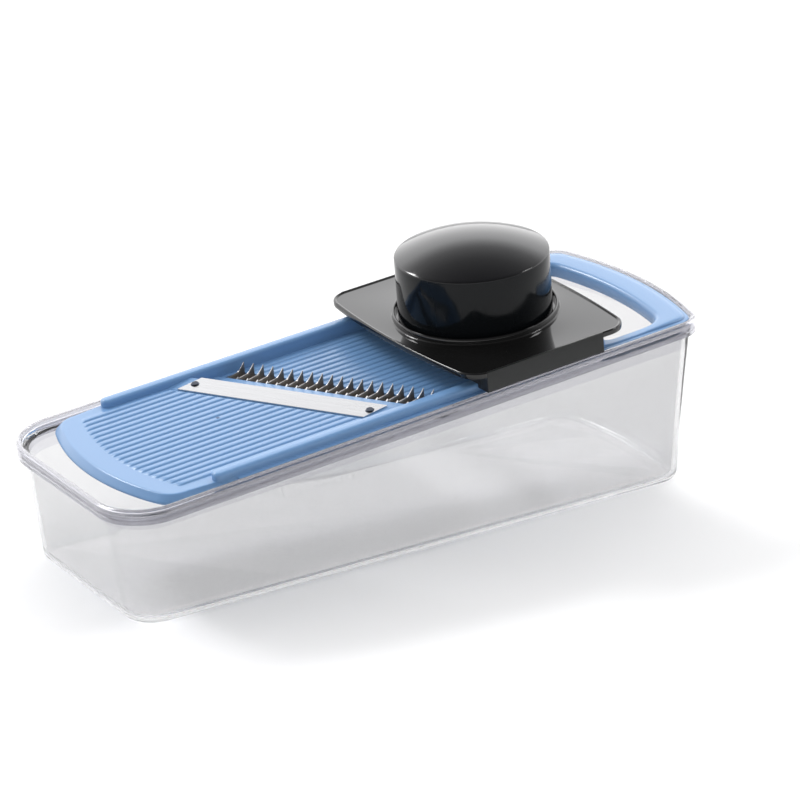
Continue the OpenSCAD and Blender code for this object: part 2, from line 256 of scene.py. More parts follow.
def add_node(tree, kind, values=None, **settings):
    """A new node of a kind: settings are its own options, and values fill its sockets."""
    node = tree.nodes.new(kind)
    for key, value in settings.items():
        setattr(node, key, value)
    return fill(node, values or {})


def wire(tree, *links):
    """Joins sockets: each link is a node and its output, then a node and its input."""
    for source, output, target, socket in links:
        tree.links.new(source.outputs[output], target.inputs[socket])


def new_material(name, values):
    """A new material, its node tree and its shader, whose sockets take the values."""
    material = bpy.data.materials.new(name)
    material.use_nodes = True
    return material, material.node_tree, fill(material.node_tree.nodes["Principled BSDF"], values)


def noise_texture(tree, coords, scale, detail, stretch=(1, 1, 1)):
    """A noise texture on object coordinates in metres, squeezed per axis by stretch."""
    mapping = add_node(tree, "ShaderNodeMapping", {"Scale": stretch})
    noise = add_node(tree, "ShaderNodeTexNoise", {"Scale": scale, "Detail": detail})
    tree.links.new(coords, mapping.inputs["Vector"])
    wire(tree, (mapping, "Vector", noise, "Vector"))
    return noise.outputs["Fac"]


def build_skin_group():
    """Moulded skin: colour = base pulled towards a second tone by slow noise; roughness = base
    plus marks; height = fine grain."""
    group = bpy.data.node_groups.new("moulded_skin", "ShaderNodeTree")
    face = group.interface
    for name, kind, value in (
        ("Colour", "NodeSocketColor", (0.5, 0.5, 0.5, 1)), ("Second tone", "NodeSocketColor", (0.5, 0.5, 0.5, 1)),
        ("Cloudiness", "NodeSocketFloat", 0.35), ("Roughness", "NodeSocketFloat", 0.3),
        ("Marks", "NodeSocketFloat", 0.1), ("Grain scale", "NodeSocketFloat", 900.0),
    ):
        socket = face.new_socket(name=name, in_out="INPUT", socket_type=kind)
        socket.default_value = value
    for name, kind in (("Colour", "NodeSocketColor"), ("Roughness", "NodeSocketFloat"), ("Height", "NodeSocketFloat")):
        face.new_socket(name=name, in_out="OUTPUT", socket_type=kind)
    given, out = add_node(group, "NodeGroupInput"), add_node(group, "NodeGroupOutput")
    place = add_node(group, "ShaderNodeTexCoord").outputs["Object"]

    amount = add_node(group, "ShaderNodeMath", operation="MULTIPLY")
    group.links.new(noise_texture(group, place, 22, 4), amount.inputs[0])
    mix = add_node(group, "ShaderNodeMix", data_type="RGBA")
    wire(group, (given, "Cloudiness", amount, 1), (amount, 0, mix, "Factor"), (given, "Colour", mix, "A"),
         (given, "Second tone", mix, "B"), (mix, "Result", out, "Colour"))

    spread = add_node(group, "ShaderNodeMapRange", {"From Min": 0.42, "From Max": 0.78})
    group.links.new(noise_texture(group, place, 160, 6, (1.0, 5.0, 1.0)), spread.inputs["Value"])
    scaled = add_node(group, "ShaderNodeMath", operation="MULTIPLY")
    total = add_node(group, "ShaderNodeMath", operation="ADD", use_clamp=True)
    wire(group, (spread, "Result", scaled, 0), (given, "Marks", scaled, 1), (scaled, 0, total, 0),
         (given, "Roughness", total, 1), (total, 0, out, "Roughness"))

    grain = add_node(group, "ShaderNodeTexNoise", {"Detail": 2})
    group.links.new(place, grain.inputs["Vector"])
    wire(group, (given, "Grain scale", grain, "Scale"), (grain, "Fac", out, "Height"))
    return group


SKIN = build_skin_group()
print("group", SKIN.name, "with", len(SKIN.nodes), "nodes")


# %% [markdown]
# ## Moulded plastics
# One function makes every opaque plastic from the skin group. The blue frame is satin, the guard
# plate is polished black, the wall of the knob is a little duller than its dome, and the skirts
# are charcoal. They differ only in colour, gloss and grain, so each is one line of values.

# %% Moulded plastics
def moulded_plastic(name, colour, second, roughness, marks=0.08, bump=0.02, ior=1.5):
    """A plastic whose colour, gloss and grain all come from the moulded skin group."""
    material, tree, shader = new_material(name, {"IOR": ior})
    skin = add_node(tree, "ShaderNodeGroup", {"Colour": (*colour, 1), "Second tone": (*second, 1),
                                              "Roughness": roughness, "Marks": marks}, node_tree=SKIN)
    bumps = add_node(tree, "ShaderNodeBump", {"Strength": bump, "Distance": 0.0003})
    wire(tree, (skin, "Colour", shader, "Base Color"), (skin, "Roughness", shader, "Roughness"),
         (skin, "Height", bumps, "Height"), (bumps, "Normal", shader, "Normal"))
    return material


BLUE = moulded_plastic("cornflower_abs", (0.168, 0.322, 0.572), (0.152, 0.302, 0.552), 0.24,
                       marks=0.03, bump=0.02, ior=1.54)
GATE_MARK = moulded_plastic("gate_mark_abs", (0.07, 0.12, 0.24), (0.05, 0.09, 0.18), 0.5)
BLACK = moulded_plastic("black_gloss_abs", (0.006, 0.006, 0.006), (0.010, 0.010, 0.010), 0.05, marks=0.05, bump=0.006)
CAP_BLACK = moulded_plastic("black_cap_abs", (0.005, 0.005, 0.006), (0.009, 0.009, 0.010), 0.10, marks=0.07,
                            bump=0.01)
CAP_SIDE = moulded_plastic("black_cap_side_abs", (0.004, 0.005, 0.006), (0.008, 0.009, 0.010), 0.09, marks=0.08,
                           bump=0.012, ior=1.27)
CHARCOAL = moulded_plastic("charcoal_abs", (0.011, 0.012, 0.012), (0.017, 0.018, 0.018), 0.34, marks=0.05, bump=0.03,
                           ior=1.42)
print("plastics", [m.name for m in (BLUE, GATE_MARK, BLACK, CAP_BLACK, CAP_SIDE, CHARCOAL)])

# %% [markdown]
# ## Clear plastic
# The container is clear styrene. A Principled shader with full transmission bends light as the
# real wall does, because the mesh is a closed shell with a true thickness. Lamps can't shine
# through bent glass without slow caustics, so shadow rays see a faintly tinted transparent shader
# instead: the floor below stays bright, as it does under a real clear box.

# %% Clear plastic
def clear_plastic(name, tint, shadow_tint, roughness):
    """Full transmission with a faint roughness pattern, and a transparent branch for shadow rays."""
    material, tree, shader = new_material(name, {"Transmission Weight": 1.0, "IOR": 1.46, "Base Color": (*tint, 1)})
    place = add_node(tree, "ShaderNodeTexCoord").outputs["Object"]
    haze = noise_texture(tree, place, 45, 5, (1, 1, 3))
    gloss = add_node(tree, "ShaderNodeMapRange", {"To Min": roughness * 0.6, "To Max": roughness * 1.6})
    tree.links.new(haze, gloss.inputs["Value"])
    through = add_node(tree, "ShaderNodeBsdfTransparent", {"Color": (*shadow_tint, 1)})
    path = add_node(tree, "ShaderNodeLightPath")
    mix = add_node(tree, "ShaderNodeMixShader")
    wire(tree, (gloss, "Result", shader, "Roughness"), (path, "Is Shadow Ray", mix, "Fac"), (shader, "BSDF", mix, 1),
         (through, "BSDF", mix, 2), (mix, "Shader", tree.nodes["Material Output"], "Surface"))
    return material


# The grey tint is partly the plastic's own and partly painted shade: it darkens the floor seen through the walls to
# stand in for the shade inside the box, since shadow rays pass the walls.
CLEAR = clear_plastic("clear_styrene", (0.74, 0.74, 0.745), (0.975, 0.975, 0.98), 0.02)
CLEAR_RIM = clear_plastic("clear_styrene_rim", (0.58, 0.58, 0.615), (0.95, 0.95, 0.97), 0.13)
print("clear plastics", CLEAR.name, CLEAR_RIM.name)

# %% [markdown]
# ## Metals
# The blade is ground across its width and polished, so its brushing runs along it. The comb is
# pressed from strip, coloured darker and brownish here. Both share one builder: a noise texture
# squeezed along the grain drives roughness and a very shallow bump.

# %% Metals
def ground_steel(name, colour, dark, roughness, stretch, turn=0.0):
    """Metal with a grain: noise squeezed along one direction, turned about Z to follow the part."""
    material, tree, shader = new_material(name, {"Metallic": 1.0})
    place = add_node(tree, "ShaderNodeTexCoord").outputs["Object"]
    mapping = add_node(tree, "ShaderNodeMapping", {"Rotation": (0, 0, turn)})
    tree.links.new(place, mapping.inputs["Vector"])
    streaks = noise_texture(tree, mapping.outputs["Vector"], 700, 4, stretch)
    tone = add_node(tree, "ShaderNodeMix", {"A": (*colour, 1), "B": (*dark, 1)}, data_type="RGBA")
    gloss = add_node(tree, "ShaderNodeMapRange", {"To Min": roughness * 0.7, "To Max": roughness * 1.4})
    bumps = add_node(tree, "ShaderNodeBump", {"Strength": 0.06, "Distance": 0.0002})
    for target in (tone.inputs["Factor"], gloss.inputs["Value"], bumps.inputs["Height"]):
        tree.links.new(streaks, target)
    wire(tree, (tone, "Result", shader, "Base Color"), (gloss, "Result", shader, "Roughness"),
         (bumps, "Normal", shader, "Normal"))
    return material


def dress(node_name, material):
    """Gives a CAD node one material in place of its own."""
    slots = frame["nodes"][node_name].data.materials
    slots.clear()
    slots.append(material)


SKEW = math.radians(30)
BLADE_STEEL = ground_steel("ground_steel", (0.76, 0.765, 0.775), (0.60, 0.60, 0.61), 0.24, (1, 0.05, 1), -SKEW)
COMB_STEEL = ground_steel("pressed_comb_steel", (0.50, 0.44, 0.40), (0.26, 0.22, 0.20), 0.42, (1, 0.3, 1), -SKEW)
FIN_STEEL = ground_steel("ground_fin_steel", (0.52, 0.49, 0.47), (0.30, 0.28, 0.26), 0.38, (1, 0.3, 1), -SKEW)
# brighter steel for the comb's crests and bent tips: partly honed metal, partly a painted highlight
CREST_HIGHLIGHT_STEEL = ground_steel("ground_tips_painted_highlight", (0.66, 0.65, 0.63), (0.50, 0.49, 0.47), 0.30, (1, 0.3, 1))
RIVET_STEEL = ground_steel("dark_rivet_steel", (0.10, 0.11, 0.14), (0.05, 0.055, 0.07), 0.3, (1, 1, 1))
PLATED = ground_steel("plated_screw_steel", (0.62, 0.62, 0.63), (0.45, 0.45, 0.46), 0.28, (1, 1, 1))
dressed = {"blade_rivet": RIVET_STEEL, "comb_rivet": RIVET_STEEL, "pusher_screw": PLATED, "food_pin": PLATED,
           "spike_disc": CHARCOAL}
for node_name in frame["nodes"]:
    for start, material in dressed.items():
        if node_name.startswith(start):
            dress(node_name, material)
print("dressed", len(dressed), "kinds of CAD nodes")

# %% [markdown]
# ## The container
# The real container is one thin shell: a floor with a rounded edge, four leaning walls, a seat for
# the frame, and a rim whose outer band hangs clear of the wall. Solid modelling would need many
# steps. Here one closed profile runs from the middle of the floor outside, up and over the rim,
# and down to the middle of the floor inside. Low rows follow the level floor and high rows follow
# the climbing rim, and the wall between them is a straight blend of the two outlines.

# %% Container shell
REAR_BOW, FRONT_CORNER, REAR_CORNER = 10.4, 27.0, 12.0
BOW_R = (RIM_HALF**2 + REAR_BOW**2) / (2 * REAR_BOW)
BAND_H = 8.0
WALL = 2.4
FLOOR_T = 2.6
FOOT = dict(front=12.3, side=8.9, rear=4.0, r=16.0)
SHIFT = tub_lo[0]


def rim_outline(inset):
    """The rim's plan, drawn in by inset on every side."""
    return bowed(inset, RIM_L - inset, RIM_HALF - inset, FRONT_CORNER - inset, REAR_CORNER - min(inset, 9),
                 BOW_R - inset)


COUNT = len(rim_outline(0))  # every row has as many points as the rim


def floor_row(inset, height):
    """A level row: the floor's outline drawn in by inset, in the world at a height in mm."""
    corner = FOOT["r"] - min(inset, 8)
    plan = spread_along(bowed(FOOT["front"] + inset, RIM_L - FOOT["rear"] - inset, RIM_HALF - FOOT["side"] - inset,
                              corner, corner, BOW_R - inset), COUNT)
    return np.column_stack([plan[:, 0] + SHIFT, plan[:, 1], np.full(COUNT, height)]) / 1000


def rim_row(inset, w):
    """A row on the climbing rim: the rim's plan drawn in by inset, at height w over the deck."""
    plan = spread_along(rim_outline(inset), COUNT)
    return deck(np.column_stack([plan, np.full(COUNT, w)]))


def wall_rows(low, high, steps):
    """Straight blend of two rows, without its two ends."""
    t = np.linspace(0, 1, steps + 2)[1:-1, None, None]
    return list(low[None] * (1 - t) + high[None] * t)


def build_container():
    """Rows: floor outside, rounded edge, wall, rim band, seat, wall inside, floor inside."""
    edge = 5.0
    outside = [floor_row(12, 0), floor_row(edge + 0.2, 0)]
    outside += [floor_row(edge - edge * math.sin(a), edge - edge * math.cos(a))
                for a in np.radians([22.5, 45, 67.5, 90])]
    wall_top = rim_row(3.4, -BAND_H - 1.0)
    outside += wall_rows(outside[-1], wall_top, 6) + [wall_top]
    # over the rim: up behind the band, under it, up its face, across the lip and down to the seat
    band = [(3.4, -BAND_H), (3.3, -2.8), (2.9, -2.1), (2.2, -2.1), (1.85, -2.6), (1.7, -BAND_H + 0.5),
            (1.5, -BAND_H + 0.1), (1.15, -BAND_H), (0.5, -BAND_H), (0.12, -BAND_H + 0.25), (0.0, -BAND_H + 0.7),
            (0.0, -5.6), (0.28, -5.3), (0.28, -4.8), (0.0, -4.5),
            (0.0, -1.0), (0.2, -0.35), (0.65, 0.0), (1.9, 0.0), (2.45, -0.2), (2.7, -0.7),
            (2.75, -4.1), (3.0, -4.5), (5.6, -4.5), (5.9, -4.65), (6.0, -5.0)]
    rim_rows = [rim_row(inset, w) for inset, w in band]
    inner_edge = 4.6
    inside_low = [floor_row(WALL + inner_edge - inner_edge * math.sin(a),
                            FLOOR_T + inner_edge - inner_edge * math.cos(a))
                  for a in np.radians([90, 67.5, 45, 22.5])]
    inside_low += [floor_row(WALL + inner_edge + 0.2, FLOOR_T), floor_row(WALL + 13, FLOOR_T)]
    rows = outside + rim_rows + wall_rows(rim_rows[-1], inside_low[0], 6) + inside_low
    # the rim is the thickest part of the moulding and looks the most tinted
    row_of_face = np.concatenate([np.repeat(np.arange(len(rows) - 1), COUNT), [0, 0]])
    in_rim = (row_of_face >= len(outside) - 1) & (row_of_face < len(outside) + len(rim_rows))
    return make_piece("tub_shell", np.array(rows), capped_faces(len(rows), COUNT), CLEAR, "container",
                      ("container_tub",), smooth_angle=40, second=CLEAR_RIM, on_second=in_rim)


tub = build_container()

# %% [markdown]
# ## Frame: front plate
# Food is pushed over the front plate towards the blade. The plate's nose isn't cut square: it
# falls away in a soft bevel, and the crisp edge above the bevel catches a bright line. The plan is
# the bowed end turned round, closed by a slanted back edge that lies against the blade. Near that
# back edge the bevel is faded out, so that the plate meets the blade with a full-height edge.

# %% Front plate
blade_lo, blade_hi = deck_box("slicing_blade")
LANE, RAIL_T = 51.0, 6.6
RAIL_OUT = LANE + RAIL_T
RIDGE_H, PLATE_TOP, RUN_TOP = 0.7, 0.0, -2.5
BLADE_X, BLADE_W, BLADE_Z, BLADE_RISE = 119.7, 12.6, 0.1, math.radians(8)
COMB_X, TOOTH_L = 150.5, 9.6
NOSE_X, NOSE_R, NOSE_CORNER = 16.0, 138.0, 14.0
BLADE_HALF = LANE - 5.5
RUN_X1 = RIM_L - 68
print("blade spans", blade_lo.round(1), blade_hi.round(1))


def skew_u(x, v):
    """Where a line across the lane at the blade's angle, through x on the centre line, is at v."""
    return x - v * math.tan(SKEW)


def build_front_plate():
    """Rows of the bevel: point = outline + inset * fade * width * inward normal, where the fade
    runs from 0 at the blade to 1 ahead of it."""
    half, back = RAIL_OUT + 1.0, BLADE_X + 1
    nose = bow_end(0, half, NOSE_CORNER, NOSE_R)
    nose = np.column_stack([NOSE_X - nose[:, 0], nose[:, 1]])[::-1]
    outline = resample(np.vstack([nose, [[skew_u(back, -half), -half]], [[skew_u(back, half), half]]]), 1.4)
    ahead = skew_u(back, outline[:, 1]) - outline[:, 0]
    free = np.clip((ahead - 2.5) / 9, 0, 1)
    free = (free * free * (3 - 2 * free))[:, None]
    # the bevel is 4 mm wide round the nose and narrow along the sides
    wide = np.clip((75 - outline[:, :1]) / 35, 0.25, 1)
    inward = normals_of(outline)
    profile = [(1.6, -4.3), (0.5, -4.3), (0.12, -4.15), (0.0, -3.8), (0.08, -3.3), (0.5, -2.75), (1.4, -1.85),
               (2.4, -0.9), (2.85, -0.48), (3.1, -0.26), (3.4, -0.1), (3.75, -0.02), (4.2, 0.0), (5.4, 0.0)]
    rows = [np.column_stack([outline + inset * free * wide * inward, np.full(len(outline), w)])
            for inset, w in profile]
    return make_piece("front_plate", deck(np.array(rows)), capped_faces(len(rows), len(outline)), BLUE, "slicer",
                      ("slicer_frame",), smooth_angle=50)


front_plate = build_front_plate()

# %% [markdown]
# ## Frame: ridged plates
# Ridges keep wet food from sticking. They share the comb's spacing, so each tooth stands in line
# with a ridge. A ridged plate is one sheet: its height is a broad arch repeated at the ridge
# spacing with a narrow groove between, and along the plate it fades out at both ends, so the ridges
# run out to soft tips along the curve of the nose.

# %% Ridged sheets
RIDGES, SPACING = 20, 4.9
RIB_X, RIB_R = 30.8, 142.0  # where the ridges start on the centre line, and the radius of that curve


def ridge_arch(v):
    """Height share of the ridges at v: 1 less |distance from the crest / 0.88 of the half pitch|^5."""
    phase = (v / SPACING + RIDGES / 2) % 1.0
    arch = np.clip(1 - np.abs((phase - 0.5) * 2 / 0.88) ** 5, 0, 1)
    return np.where(np.abs(v) < RIDGES * SPACING / 2, arch, 0.0)


def ridged_sheet(name, front_u, back_u, base, fade_front, fade_back):
    """Closed sheet between two curves u(v): top = base + ridge height x arch(v) x fade(u),
    bottom = base less half a millimetre."""
    v = np.linspace(-RIDGES * SPACING / 2 - 0.3, RIDGES * SPACING / 2 + 0.3, RIDGES * 16 + 1)
    ends = np.linspace(0, 1, 9) ** 1.3
    share = np.concatenate([ends * 0.06, np.linspace(0.1, 0.9, 12), 1 - ends[::-1] * 0.06])[:, None]
    start, end = front_u(v)[None], back_u(v)[None]
    u = start + share * (end - start)
    fade = np.clip((u - start) / fade_front, 0, 1) * np.clip((end - u) / fade_back, 0, 1)
    fade = np.sin(fade * math.pi / 2)
    top = np.stack([u, np.broadcast_to(v, u.shape), base + RIDGE_H * ridge_arch(v)[None] * fade], -1)
    under = top.copy()
    under[..., 2] = base - 0.5
    rows, cols = u.shape
    points = np.concatenate([top.reshape(-1, 3), under.reshape(-1, 3)])
    upper = grid_faces(rows, cols, False)
    lower = upper[:, ::-1] + rows * cols
    index = np.arange(rows * cols).reshape(rows, cols)
    rim = np.concatenate([index[0, :], index[1:, -1], index[-1, -2::-1], index[-2:0:-1, 0]])
    after = np.roll(rim, -1)
    side = np.stack([rim, rim + rows * cols, after + rows * cols, after], -1)
    return make_piece(name, deck(points), np.concatenate([upper, lower, side]), BLUE, "slicer", ("slicer_frame",),
                      smooth_angle=60)


ridged_sheet("front_ridges", lambda v: RIB_X + RIB_R - np.sqrt(RIB_R**2 - v**2),
             lambda v: skew_u(BLADE_X - 1.5, v), PLATE_TOP + 0.01, 3.0, 0.6)
ridged_sheet("runway_ridges", lambda v: skew_u(COMB_X + TOOTH_L + 3.5, v),
             lambda v: np.full_like(v, RUN_X1 - 1), RUN_TOP - RIDGE_H + 0.01, 1.6, 1.6)

# %% [markdown]
# ## Frame: runway, rails and flange
# These are slabs with softened edges: an outline with rounded corners, and a short profile with a
# quarter-round at the top. One function makes them all. The rails get the fullest rounding,
# because fingers and the guard run along them.

# %% Slabs and rails
def slab(name, outline, low, top, round_r, material=BLUE, body="slicer", replaced=("slicer_frame",), foot_r=0.3):
    """Closed slab: straight sides, a quarter-round at the top edge, where inset = r (1 - cos t) and
    height = top - r + r sin t, and a small chamfer at the bottom."""
    profile = [(foot_r, low), (0.0, low + foot_r)]
    profile += [(round_r - round_r * math.cos(t), top - round_r + round_r * math.sin(t))
                for t in np.radians(np.linspace(0, 90, 6))]
    rows = carried(outline, profile)
    return make_piece(name, deck(rows), capped_faces(len(rows), len(outline)), material, body, replaced,
                      smooth_angle=40)


def band_outline(x0, x1, v0, v1, r=0.5, steps=5):
    """Parallelogram across the lane at the blade's angle, with rounded corners."""
    return rounded([(skew_u(x0, v0), v0), (skew_u(x1, v0), v0), (skew_u(x1, v1), v1), (skew_u(x0, v1), v1)], r, steps)


def box_outline(x0, x1, y0, y1, r, steps):
    """A rectangle with rounded corners."""
    return rounded([(x0, y0), (x1, y0), (x1, y1), (x0, y1)], r, steps)


IN_LANE = LANE + 0.3
SLOT_HALF = RIDGES * SPACING / 2
slab("runway_band", band_outline(BLADE_X + BLADE_W + 2.6, COMB_X - 0.8, -IN_LANE, IN_LANE), -5.0, RUN_TOP, 0.45)
REAR_LINE = COMB_X + TOOTH_L + 0.8
slab("runway_plate", rounded([(skew_u(REAR_LINE, -IN_LANE), -IN_LANE), (RUN_X1 + 2, -IN_LANE),
                              (RUN_X1 + 2, IN_LANE), (skew_u(REAR_LINE, IN_LANE), IN_LANE)], 0.5, 5),
     -5.0, RUN_TOP - RIDGE_H, 0.35)
RAIL_X0, RAIL_TOP = 58.0, 3.8
for side_name, s in (("left", 1), ("right", -1)):
    y0, y1 = sorted((s * LANE, s * RAIL_OUT))
    slab("rail_" + side_name, box_outline(RAIL_X0 - RAIL_T / 2, RUN_X1 + RAIL_T / 2, y0, y1, 3.0, 10), -4.5,
         RAIL_TOP, 1.6, foot_r=0.2)
    # the strips of the lane beside the comb slot
    e0, e1 = sorted((s * SLOT_HALF, s * IN_LANE))
    slab("slot_edge_" + side_name, band_outline(COMB_X - 1.5, REAR_LINE + 0.8, e0, e1, 0.2, 3), -4.9,
         RUN_TOP - RIDGE_H, 0.2)

# %% [markdown]
# ## Frame: blade lands
# The blade rises towards its cutting edge, so its two ends lie on small sloping lands. Each is a
# prism: four plan corners, a level foot and a top that follows the underside of the blade.

# %% Blade lands
BLADE_DIR = np.array([math.cos(SKEW) * math.cos(BLADE_RISE), math.sin(SKEW) * math.cos(BLADE_RISE),
                      math.sin(BLADE_RISE)])
BLADE_RUN = np.array([-math.sin(SKEW), math.cos(SKEW), 0.0])
BLADE_OUT = np.cross(BLADE_DIR, BLADE_RUN)


def blade_point(x, y, z):
    """Blade axes to deck axes: x over the blade, y along it, z square to its face."""
    x, y, z = (np.asarray(q, float)[..., None] for q in (x, y, z))
    return np.array([BLADE_X, 0, BLADE_Z]) + x * BLADE_DIR + y * BLADE_RUN + z * BLADE_OUT


for side_name, v0, v1 in (("left", 38.5, LANE + 0.4), ("right", -LANE - 0.4, -38.5)):
    x = np.array([0.2, BLADE_W - 0.4, BLADE_W - 0.4, 0.2])
    v = np.array([v0, v0, v1, v1])
    top = np.stack([skew_u(BLADE_X, v) + x / math.cos(SKEW), v, BLADE_Z + x * math.tan(BLADE_RISE) - 0.02], -1)
    foot = top * (1, 1, 0) + (0, 0, -4.5)
    faces = [(0, 1, 2, 3), (7, 6, 5, 4)] + [(i, i + 4, (i + 1) % 4 + 4, (i + 1) % 4) for i in range(4)]
    make_piece("blade_land_" + side_name, deck(np.concatenate([top, foot])), faces, BLUE, "slicer",
               ("slicer_frame",), smooth_angle=20)

# %% [markdown]
# ## Frame: handle bar
# Behind the runway the frame closes in a bar that the hand can grip. Its top is nearly flat and its
# inner edge is well rounded, which gives the long highlight. The bar is a ring round the finger
# opening, so it is built as a grid that wraps both ways: columns follow the opening, and rows walk
# round the bar's section, some measured from its inner edge and some from its outer edge.

# %% Handle bar
HAND_X0, HAND_X1 = RIM_L - 62, RIM_L - 19.5
HAND_FRONT_R, HAND_REAR_R, HAND_BOW_R = 5, 13, 190


def ray_hits(centre, directions, outline):
    """Distance from centre along each direction to a closed outline, read from the outline's own
    distances sorted by angle."""
    d = outline - centre
    angle, reach = np.arctan2(d[:, 1], d[:, 0]), np.linalg.norm(d, axis=1)
    order = np.argsort(angle)
    angle, reach = angle[order], reach[order]
    wrapped = np.concatenate([angle - 2 * math.pi, angle, angle + 2 * math.pi])
    return np.interp(np.arctan2(directions[:, 1], directions[:, 0]), wrapped, np.tile(reach, 3))


def build_handle():
    """Each column runs from a point of the opening to where its ray from the middle of the
    opening meets the rim or the runway, so point = inner + (outer - inner) * share."""
    opening = bowed(HAND_X0, HAND_X1, LANE + 0.5, HAND_FRONT_R, HAND_REAR_R, HAND_BOW_R, 1.3)
    centre = np.array([HAND_X0 + 20, 0.0])
    out = opening - centre
    out /= np.linalg.norm(out, axis=1)[:, None]
    lip = rim_outline(5.4)
    reach = ray_hits(centre, out, lip)
    to_front = np.where(out[:, 0] < -1e-3, (RUN_X1 - centre[0]) / np.minimum(out[:, 0], -1e-3), 1e9)
    reach = np.minimum(reach, to_front)
    outer = centre + out * reach[:, None]
    inward = -normals_of(opening)
    width = np.linalg.norm(outer - opening, axis=1)
    # the bar is crowned behind the opening and plain along the arms
    crown = np.clip((opening[:, 0] - (RIM_L - 45)) / 18, 0, 1)
    crown = crown * crown * (3 - 2 * crown)

    def row(from_inner, share, w):
        """A row at a few millimetres from the opening, then a share of the way to the outer edge."""
        edge = np.minimum(from_inner, width * 0.4)
        base = opening + inward * edge[:, None]
        flat = base + (outer - base) * share
        return np.column_stack([flat, w + np.zeros(len(flat))])

    top = 0.35 + 0.45 * crown
    soft = 2.6
    rows = [row(0.6, 0, -7.0), row(0.0, 0, -6.4), row(0.0, 0, -3.2)]
    rows += [row(soft - soft * math.cos(t), 0, top - 0.25 - soft + soft * math.sin(t))
             for t in np.radians([10, 22, 34, 46, 58, 70, 80])]
    rows += [row(soft, share, top - 0.25 + 0.12 * math.sin(math.pi * share) * crown)
             for share in (0.02, 0.12, 0.3, 0.5, 0.7, 0.84)]
    rows += [row(soft, 0.91, top - 0.35), row(soft, 0.955, top - 0.6), row(soft, 0.985, top - 1.0),
             row(soft, 1.0, top - 1.6), row(soft, 1.0, -4.1), row(soft, 0.97, -4.4), row(soft, 0.8, -4.4),
             row(soft, 0.78, -7.0)]
    rows = np.array(rows)
    return make_piece("handle_bar", deck(rows), ring_faces(*rows.shape[:2]), BLUE, "slicer", ("slicer_frame",),
                      smooth_angle=55)


build_handle()
FLANGE_X0, NEAR, DEEP = 66.0, 3.3, 7.5  # where it begins, and its two edges inside the lip
flange = [np.array([[FLANGE_X0, NEAR - RIM_HALF]]), bow_end(RIM_L - NEAR, RIM_HALF - NEAR, 8.7, BOW_R - NEAR),
          np.array([[FLANGE_X0, RIM_HALF - NEAR], [FLANGE_X0, RIM_HALF - DEEP]]),
          bow_end(RIM_L - DEEP, RIM_HALF - DEEP, 5, BOW_R - DEEP)[::-1],
          np.array([[FLANGE_X0, DEEP - RIM_HALF]])]
slab("seat_flange", resample(np.vstack(flange), 1.5), -4.4, -0.6, 0.6)

# %% [markdown]
# ## Blade
# The blade is a flat strip with its ends cut parallel to the rails. Its upper face is flat and the
# cutting edge is ground from below, so the section is a thin rectangle with one slanted corner.
# The section is carried from one end to the other with the ends sheared at the blade's angle.

# %% Blade
def build_blade():
    """The section is repeated along y, and each point slides back by x tan(skew)."""
    t, w, soft = 0.8, BLADE_W, 0.12
    reach = BLADE_HALF / math.cos(SKEW)
    section = np.array([(soft, 0), (w - 2.2, 0), (w, t - 0.1), (w, t - 0.03), (w - 0.06, t), (soft, t), (0, t - soft),
                        (0, soft)])
    y = np.linspace(-reach, reach, 40)[:, None]
    points = blade_point(section[:, 0] + 0 * y, y - section[:, 0] * math.tan(SKEW), section[:, 1] + 0 * y)
    return make_piece("blade_body", deck(points), capped_faces(len(y), len(section)), BLADE_STEEL, "slicer",
                      ("slicing_blade",), smooth_angle=12)


build_blade()

# %% [markdown]
# ## Comb
# The comb is one pressed strip. Each tooth is a thin upright fin whose top edge is ground sharp:
# it starts low with a small bent tip in front, climbs slowly and then steeply, and ends in a thorn
# at the back. A fin is a tube of six columns: two feet, two shoulders and a crest 0.4 mm wide. All
# twenty fins are worked out in one array, with the tooth number as its first axis.

